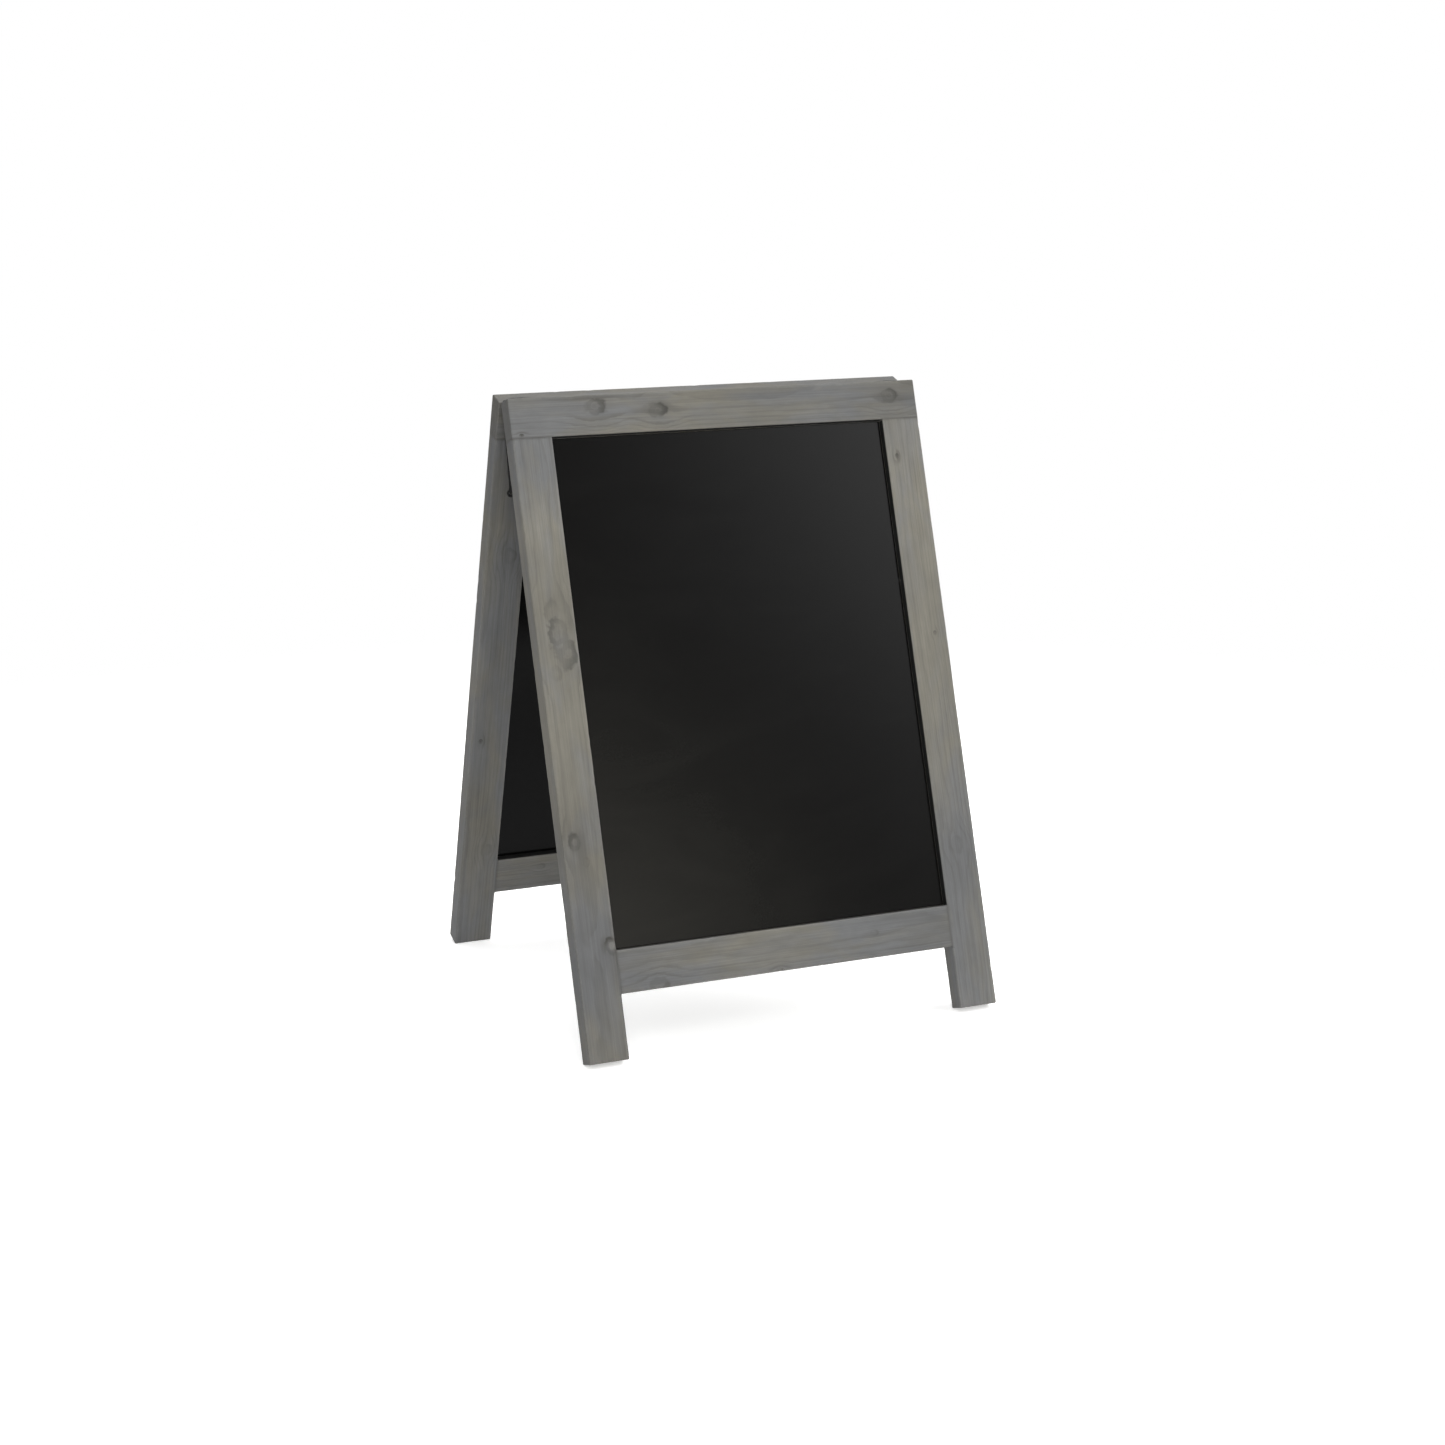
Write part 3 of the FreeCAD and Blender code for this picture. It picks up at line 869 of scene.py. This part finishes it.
def lathe(profile, steps):
    # a solid of revolution about x from (along, radius) pairs that start and end on the axis
    mesh = bmesh.new()
    rings = []
    for along, radius in profile:
        if radius <= 0:
            rings.append([mesh.verts.new((along, 0, 0))])
            continue
        angles = [2 * math.pi * i / steps for i in range(steps)]
        rings.append([mesh.verts.new((along, radius * math.cos(a), radius * math.sin(a)))
                      for a in angles])
    for first, second in zip(rings, rings[1:]):
        for i in range(steps):
            j = (i + 1) % steps
            if len(first) == 1:
                mesh.faces.new((first[0], second[i], second[j]))
            elif len(second) == 1:
                mesh.faces.new((first[i], second[0], first[j]))
            else:
                mesh.faces.new((first[i], second[i], second[j], first[j]))
    bmesh.ops.recalc_face_normals(mesh, faces=mesh.faces)
    return mesh


def buildPin(nodeName):
    places = [vertex.co - pinPlace for vertex in frame["nodes"][nodeName].data.vertices]
    left, right = min(p.x for p in places), max(p.x for p in places)
    reaches = [(p.x, math.hypot(p.y, p.z)) for p in places]
    headRadius = max(reach for x, reach in reaches)
    wide = [x for x, reach in reaches if reach > headRadius * 0.95]
    radius = max([reach for x, reach in reaches if reach < headRadius * 0.95], default=headRadius)
    ends = []
    for tip, inward in ((left, 1), (right, -1)):
        head = [x for x in wide if (x - (left + right) / 2) * inward < 0]
        if head:
            inside = max(head) if inward > 0 else min(head)
            shoulder = [(inside, headRadius), (inside, radius)]
            ends.append(domedEnd(tip, inside, headRadius) + shoulder)
        else:
            ends.append(domedEnd(tip, tip + inward * hingeShape["pinEnd"], radius))
    mesh = lathe(ends[0] + ends[1][::-1], hingeShape["pinSteps"])
    for vertex in mesh.verts:
        vertex.co += pinPlace
    data = settled(looseObject(nodeName + "_metal", mesh))
    markEdges(data)
    finishedMesh(nodeName + "_metal", data, "front_frame", [nodeName], hingePaint)


def domedEnd(tip, root, radius):
    # from the axis at the tip, over a low dome, to the rim near the root
    depth, rim, steps = root - tip, 0.55, 8
    points = [(tip, 0.0)]
    for step in range(1, steps + 1):
        share = step / steps * 0.98
        points.append((tip + depth * rim * (1 - math.sqrt(1 - share ** 2)), radius * share))
    points.append((tip + depth * 0.72, radius))
    return points


for side in ("left", "right"):
    buildLeaf(side + "_hinge_front_leaf", "front_frame")
    buildLeaf(side + "_hinge_rear_leaf", "rear_frame")
    buildPin(side + "_hinge_pin")
print("hinges ready")


# Screws: one geometry node tree that puts a threaded, cross-headed screw on each place.

screwShape = {
    "headRadius": 0.0034,
    "headHeight": 0.0016,
    "shankRadius": 0.00125,
    "threadRadius": 0.0017,
    "pointLength": 0.004,
    "threadPitch": 0.0013,
    "slotLength": 0.0038,
    "slotWidth": 0.0008,
    "slotDepth": 0.0011,
    "pointRadius": 0.0002,
    "threadTurns": 9.0,
    "length": 0.018,
    "sharpAngle": 32.0,
    "seed": 7,
}
screwTones = {
    "paint": (0.006, 0.006, 0.0064),
    "dust": (0.018, 0.0175, 0.016),
    "steel": (0.34, 0.33, 0.31),
    "roughness": 0.44,
    "specular": 0.3,
    "wearFrom": 1.22,
}


def screwTree(length, material):
    # the screw points down its own z, with the top of its head at 0
    look = screwShape
    tree = bpy.data.node_groups.new("screws", "GeometryNodeTree")
    tree.interface.new_socket("Places", in_out="INPUT", socket_type="NodeSocketGeometry")
    for name, value in (("Head Radius", look["headRadius"]), ("Head Height", look["headHeight"]),
                        ("Length", length), ("Shank Radius", look["shankRadius"])):
        made = tree.interface.new_socket(name, in_out="INPUT", socket_type="NodeSocketFloat")
        made.default_value = value
    made = tree.interface.new_socket("Seed", in_out="INPUT", socket_type="NodeSocketInt")
    made.default_value = look["seed"]
    tree.interface.new_socket("Screws", in_out="OUTPUT", socket_type="NodeSocketGeometry")
    start = tree.nodes.new("NodeGroupInput").outputs
    end = tree.nodes.new("NodeGroupOutput")

    def moved(geometry, place, size=(1.0, 1.0, 1.0), turn=(0.0, 0.0, 0.0)):
        values = {"Geometry": geometry, "Translation": place, "Scale": size, "Rotation": turn}
        return firstOf(tree, "GeometryNodeTransform", values)

    def lifted(geometry, height):
        return moved(geometry, combine(tree, z=height))

    # domed head: a flattened ball kept above the seat, with a cross cut in it
    headRadius, headHeight = start["Head Radius"], start["Head Height"]
    seat = times(tree, headHeight, -1.0)
    ball = firstOf(tree, "GeometryNodeMeshUVSphere", {"Segments": 40, "Rings": 22, "Radius": 1.0})
    dome = moved(ball, combine(tree, z=seat), combine(tree, headRadius, headRadius, headHeight))
    block = firstOf(tree, "GeometryNodeMeshCube", {"Size": (0.02, 0.02, 0.01)})
    under = lifted(block, minus(tree, -0.005, headHeight))
    size = (look["slotLength"], look["slotWidth"], look["slotDepth"] * 2)
    slot = firstOf(tree, "GeometryNodeMeshCube", {"Size": size})
    cross = moved(slot, (0.0, 0.0, 0.0), turn=(0.0, 0.0, math.pi / 2))
    head = addNode(tree, "GeometryNodeMeshBoolean", {"Mesh 1": dome}, operation="DIFFERENCE",
                   solver="EXACT")
    for cutter in (under, slot, cross):
        tree.links.new(cutter, head.inputs["Mesh 2"])

    # shank, point and the thread wound round them
    radius, point = start["Shank Radius"], look["pointLength"]
    shankLength = minus(tree, minus(tree, start["Length"], headHeight), point)
    values = {"Vertices": 20, "Radius": radius, "Depth": shankLength}
    shank = firstOf(tree, "GeometryNodeMeshCylinder", values)
    shank = lifted(shank, minus(tree, seat, times(tree, shankLength, 0.5)))
    values = {"Vertices": 20, "Radius Top": radius, "Radius Bottom": look["pointRadius"],
              "Depth": point}
    tipTop = minus(tree, seat, shankLength)
    tip = lifted(firstOf(tree, "GeometryNodeMeshCone", values), minus(tree, tipTop, point))
    turns = look["threadTurns"]
    values = {"Resolution": 18, "Rotations": turns, "Start Radius": radius, "End Radius": radius,
              "Height": turns * look["threadPitch"]}
    spiral = firstOf(tree, "GeometryNodeCurveSpiral", values)
    values = {"Resolution": 3, "Radius": look["threadRadius"] - look["shankRadius"]}
    ridge = firstOf(tree, "GeometryNodeCurvePrimitiveCircle", values)
    values = {"Curve": spiral, "Profile Curve": ridge, "Fill Caps": True}
    thread = firstOf(tree, "GeometryNodeCurveToMesh", values)
    thread = lifted(thread, minus(tree, tipTop, 0.0002))
    whole = addNode(tree, "GeometryNodeJoinGeometry")
    for part in (head.outputs[0], shank, tip, thread):
        tree.links.new(part, whole.inputs[0])

    # one on each place, along its axis and turned at random
    axis = firstOf(tree, "GeometryNodeInputNamedAttribute", {"Name": "axis"},
                   data_type="FLOAT_VECTOR")
    facing = firstOf(tree, "FunctionNodeAlignRotationToVector", {"Vector": axis}, axis="Z")
    chance = addNode(tree, "FunctionNodeRandomValue", {"Seed": start["Seed"]}, data_type="FLOAT")
    [s for s in chance.inputs if s.name == "Max" and s.type == "VALUE"][0].default_value = math.pi
    angle = [s for s in chance.outputs if s.type == "VALUE"][0]
    values = {"Axis": (0.0, 0.0, 1.0), "Angle": angle}
    about = firstOf(tree, "FunctionNodeAxisAngleToRotation", values)
    facing = firstOf(tree, "FunctionNodeRotateRotation", {0: facing, 1: about},
                     rotation_space="LOCAL")
    values = {"Points": start["Places"], "Instance": whole.outputs[0], "Rotation": facing}
    placed = firstOf(tree, "GeometryNodeInstanceOnPoints", values)
    solid = firstOf(tree, "GeometryNodeRealizeInstances", {0: placed})
    dressed = firstOf(tree, "GeometryNodeSetMaterial", {"Geometry": solid, "Material": material})
    tree.links.new(dressed, end.inputs[0])
    return tree


def islands(nodeName, isRear):
    # the flat box of each separate screw in a CAD node
    mesh = bmesh.new()
    mesh.from_mesh(frame["nodes"][nodeName].data)
    bmesh.ops.remove_doubles(mesh, verts=mesh.verts, dist=mergeGap)
    back = standing(isRear).inverted()
    left = set(mesh.verts)
    found = []
    while left:
        front = [left.pop()]
        group = list(front)
        while front:
            for edge in front.pop().link_edges:
                for vertex in edge.verts:
                    if vertex in left:
                        left.remove(vertex)
                        front.append(vertex)
                        group.append(vertex)
        places = [back @ vertex.co for vertex in group]
        found.append([list(corner) for corner in cornersOf(places)])
    mesh.free()
    return sorted(found)


screwPaint = metalMaterial("screw_paint", screwTones)


def buildScrews(frameName, isRear, tree):
    nodes = [f"{side}_hinge_{frameName}_screws" for side in ("left", "right")]
    boxes = [found for nodeName in nodes for found in islands(nodeName, isRear)]
    turn = standing(isRear)
    data = bpy.data.meshes.new("screw_places")
    tops = [turn @ Vector(((low[0] + high[0]) / 2, (low[1] + high[1]) / 2, low[2]))
            for low, high in boxes]
    data.from_pydata(tops, [], [])
    axis = data.attributes.new("axis", "FLOAT_VECTOR", "POINT")
    outward = turn.to_3x3() @ Vector((0.0, 0.0, -1.0))
    axis.data.foreach_set("vector", [value for _ in tops for value in outward])
    name = frameName + "_screws"
    made = linked(name, data)
    modifier = made.modifiers.new("screws", "NODES")
    modifier.node_group = tree
    values = {"Head Radius": screwShape["headRadius"], "Head Height": screwShape["headHeight"],
              "Length": max(high[2] - low[2] for low, high in boxes),
              "Shank Radius": screwShape["shankRadius"],
              "Seed": screwShape["seed"] + (1 if isRear else 0)}
    for item in tree.interface.items_tree:
        if item.in_out == "INPUT" and item.name in values:
            modifier[item.identifier] = values[item.name]
    result = settled(made)
    markEdges(result)
    finishedMesh(name, result, frameName + "_frame", nodes, screwPaint,
                 screwShape["sharpAngle"])
    print("screws:", name, len(boxes), "screws,", len(result.vertices), "points")


screwNodes = screwTree(screwShape["length"], screwPaint)
buildScrews("front", False, screwNodes)
buildScrews("rear", True, screwNodes)


# Where it stands: a pale floor in soft light.

studio = {
    "floor": (0.90, 0.90, 0.90),
    "floorFade": (1.35, 2.4),
    "floorGlow": 0.45,
    "surround": 0.53,
    "sheen": 2.1,
    "sheenDim": 0.7,
    "backdrop": 1.0,
    "keyPower": 125.0,
    "keyAt": (84.0, 42.0, 4.5),
    "keySize": 2.0,
    "fillPower": 58.0,
    "fillAt": (-20.0, 34.0, 4.2),
    "fillSize": 2.4,
    "topPower": 60.0,
    "topAt": (180.0, 82.0, 3.2),
    "topSize": 3.0,
    "aim": (0.0, 0.0, 0.4),
    "camera": (-1.2457, -2.9552, 1.0839),
    "yaw": 0.404,
    "pitch": 0.228,
    "roll": -0.005,
    "lens": 63.3,
}
# Stretches of the surround: azimuth, elevation, inner and outer reach, strength, tint.
surroundZones = {
    "gap": (25.0, 20.0, 50.0, 75.0),
    "right": (62.0, 30.0, 27.3, 32.6, 2.6, (1.0, 1.0, 1.0)),
    "left": (-5.0, 0.0, 27.8, 32.2, 2.15, (1.0, 0.97, 0.88)),
    "sheen": (23.0, 22.0, 14.0, 22.0),
}


def heading(azimuth, elevation):
    # azimuth turns from straight in front of the board towards its right side
    across, up = math.radians(azimuth), math.radians(elevation)
    return Vector((math.sin(across) * math.cos(up), -math.cos(across) * math.cos(up), math.sin(up)))


def buildStage():
    mesh = bmesh.new()
    bmesh.ops.create_circle(mesh, cap_ends=True, radius=studio["floorFade"][1], segments=96)
    floor = looseObject("floor", mesh)
    made, tree, shader = newMaterial("floor")
    coords = objectCoords(tree)
    cloud = grit(tree, coords, 1.6, 3.0, 0.5)
    pale = tuple(value * 0.985 for value in studio["floor"])
    colour = blendColour(tree, spread(tree, cloud, 0.3, 0.7), studio["floor"], pale)
    tree.links.new(colour, shader.inputs["Base Color"])
    finish = spread(tree, grit(tree, coords, 60.0), 0.3, 0.7, 0.86, 0.94)
    tree.links.new(finish, shader.inputs["Roughness"])
    reach = measured(tree, "LENGTH", coords)
    inner, outer = studio["floorFade"]
    tree.links.new(spread(tree, reach, inner, outer * 0.98, 1.0, 0.0), shader.inputs["Alpha"])
    shader.inputs["Specular IOR Level"].default_value = 0.1
    shader.inputs["Emission Color"].default_value = (1.0, 1.0, 1.0, 1.0)
    shader.inputs["Emission Strength"].default_value = studio["floorGlow"]
    floor.data.materials.append(made)


def worldZone(tree, direction, azimuth, elevation, inner, outer):
    # 1 within the inner reach of a heading, 0 beyond the outer, in degrees
    facing = measured(tree, "DOT_PRODUCT", direction, tuple(heading(azimuth, elevation)))
    return spread(tree, facing, math.cos(math.radians(outer)), math.cos(math.radians(inner)))


def buildWorld():
    world = bpy.data.worlds.new("studio")
    world.use_nodes = True
    tree = world.node_tree
    tree.nodes.clear()
    direction = addNode(tree, "ShaderNodeTexCoord").outputs["Generated"]
    gap = worldZone(tree, direction, *surroundZones["gap"])
    level = times(tree, minus(tree, 1.0, gap), studio["surround"])
    light = combine(tree, level, level, level)
    rays = addNode(tree, "ShaderNodeLightPath").outputs
    # reflections see the bright stretches stronger within one patch and weaker outside it
    patch = worldZone(tree, direction, *surroundZones["sheen"])
    boost = times(tree, patch, studio["sheen"] + studio["sheenDim"])
    boost = minus(tree, boost, studio["sheenDim"])
    shine = plus(tree, times(tree, rays["Is Glossy Ray"], boost), 1.0)
    for name in ("right", "left"):
        azimuth, elevation, inner, outer, strength, tint = surroundZones[name]
        zone = times(tree, worldZone(tree, direction, azimuth, elevation, inner, outer), strength)
        zone = times(tree, times(tree, zone, gap), shine)
        light = vectorCalc(tree, "ADD", light, shaded(tree, tint, zone))
    soft = firstOf(tree, "ShaderNodeBackground", {"Color": light, "Strength": 1.0})
    white = {"Color": (1.0, 1.0, 1.0, 1.0), "Strength": studio["backdrop"]}
    plain = firstOf(tree, "ShaderNodeBackground", white)
    mixed = firstOf(tree, "ShaderNodeMixShader", {0: rays["Is Camera Ray"], 1: soft, 2: plain})
    output = tree.nodes.new("ShaderNodeOutputWorld")
    tree.links.new(mixed, output.inputs["Surface"])
    bpy.context.scene.world = world


def addLight(name):
    azimuth, elevation, distance = studio[name + "At"]
    toLight = heading(azimuth, elevation)
    light = bpy.data.lights.new(name, "AREA")
    light.shape, light.size, light.energy = "DISK", studio[name + "Size"], studio[name + "Power"]
    made = linked(name, light)
    made.location = Vector(studio["aim"]) + toLight * distance
    made.rotation_euler = (-toLight).to_track_quat("-Z", "Y").to_euler()


def addCamera():
    yaw, pitch, roll = studio["yaw"], studio["pitch"], studio["roll"]
    flat = math.cos(pitch)
    ahead = Vector((math.sin(yaw) * flat, math.cos(yaw) * flat, -math.sin(pitch)))
    level = Vector((math.cos(yaw), -math.sin(yaw), 0.0))
    over = level.cross(ahead)
    right = math.cos(roll) * level + math.sin(roll) * over
    up = -math.sin(roll) * level + math.cos(roll) * over
    lens = bpy.data.cameras.new("camera")
    lens.lens, lens.sensor_width = studio["lens"], 36.0
    made = linked("camera", lens)
    turn = Matrix((right, up, -ahead)).transposed().to_4x4()
    made.matrix_world = Matrix.Translation(studio["camera"]) @ turn
    bpy.context.scene.camera = made


buildStage()
buildWorld()
for lightName in ("key", "fill", "top"):
    addLight(lightName)
addCamera()
bpy.context.scene.view_settings.view_transform = "Standard"
print("stage, lights and camera ready")
